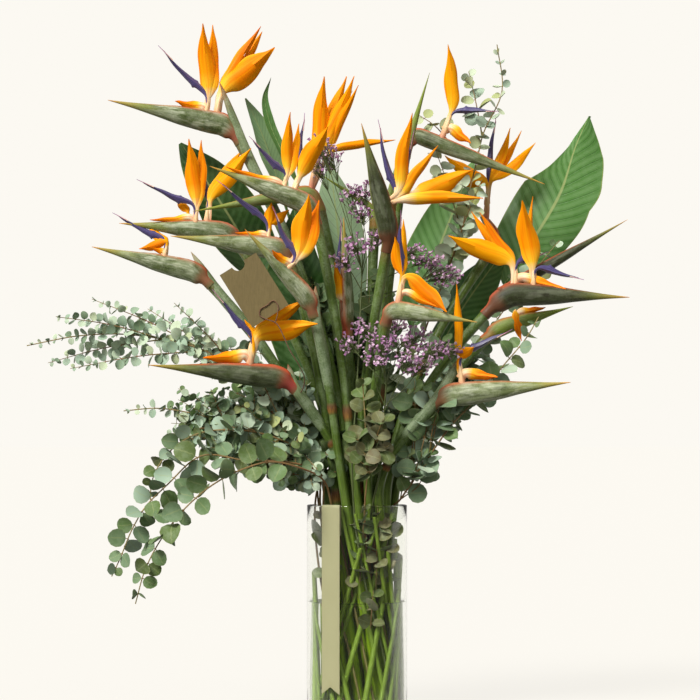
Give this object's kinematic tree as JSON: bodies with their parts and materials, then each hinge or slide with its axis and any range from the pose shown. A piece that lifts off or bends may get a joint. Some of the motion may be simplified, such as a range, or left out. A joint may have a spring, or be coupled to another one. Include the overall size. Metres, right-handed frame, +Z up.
{
  "type": "bird of paradise flower arrangement in a glass vase",
  "caption": "Bird of paradise flowers with big leaves, eucalyptus and sea lavender, standing in water in a clear glass cylinder vase with a ribbon and a card tag.",
  "frame": {"origin": "middle of the vase's foot, on the surface that it stands on", "axes": "Z up along the vase's axis, -Y is the front of the arrangement, +X is to the right as seen from the front"},
  "size_m": [0.7194, 0.2372, 0.8314],
  "materials": {
    "glass": "clear polished glass",
    "water": "clear still water",
    "ribbon": "pale olive satin ribbon, bare",
    "tag": "bronze card with a fine metallic grain, bare",
    "twine": "thin copper brown waxed twine",
    "stalk": "grey green spathe with a powdery bloom, green stalk, pink neck",
    "sepal": "satin orange petals with blue violet arrows",
    "leaf": "satin green leaf with side veins",
    "eucalyptus": "matt blue green round leaves on brown twigs",
    "lavender": "papery violet heads on green stalks"
  },
  "bodies": {
    "root": {"vase": "glass", "water": "water", "ribbon": "ribbon", "gift_tag": "tag", "tag_twine": "twine", "stalk_top_left": "stalk", "stalk_upper_left": "stalk", "stalk_upper_mid": "stalk", "stalk_upper_mid_bud": "stalk", "stalk_left": "stalk", "stalk_far_left": "stalk", "stalk_left_mid": "stalk", "stalk_centre_left": "stalk", "stalk_lower_left": "stalk", "stalk_centre": "stalk", "stalk_centre_back": "stalk", "stalk_top_right": "stalk", "stalk_right_back": "stalk", "stalk_right": "stalk", "stalk_right_low": "stalk", "stalk_centre_low": "stalk", "stalk_lower_right": "stalk", "stalk_centre_small": "stalk", "florets_top_left": "sepal", "florets_upper_left": "sepal", "florets_upper_mid": "sepal", "florets_left": "sepal", "florets_far_left": "sepal", "florets_left_mid": "sepal", "florets_centre_left": "sepal", "florets_lower_left": "sepal", "florets_centre": "sepal", "florets_centre_back": "sepal", "florets_top_right": "sepal", "florets_right_back": "sepal", "florets_right": "sepal", "florets_right_low": "sepal", "florets_centre_low": "sepal", "florets_lower_right": "sepal", "florets_centre_small": "sepal", "leaf_pale_left": "leaf", "leaf_thin_left": "leaf", "leaf_dark_left": "leaf", "leaf_dark_mid": "leaf", "leaf_centre": "leaf", "leaf_centre_right": "leaf", "leaf_low_right": "leaf", "leaf_right": "leaf", "eucalyptus_far_left": "eucalyptus", "eucalyptus_left": "eucalyptus", "eucalyptus_droop_far": "eucalyptus", "eucalyptus_droop_near": "eucalyptus", "eucalyptus_arch_left": "eucalyptus", "eucalyptus_cluster_left": "eucalyptus", "eucalyptus_right": "eucalyptus", "eucalyptus_top_right": "eucalyptus", "eucalyptus_right_mid": "eucalyptus", "eucalyptus_inside": "eucalyptus", "lavender_low": "lavender", "lavender_high": "lavender"}
  },
  "joints": []
}
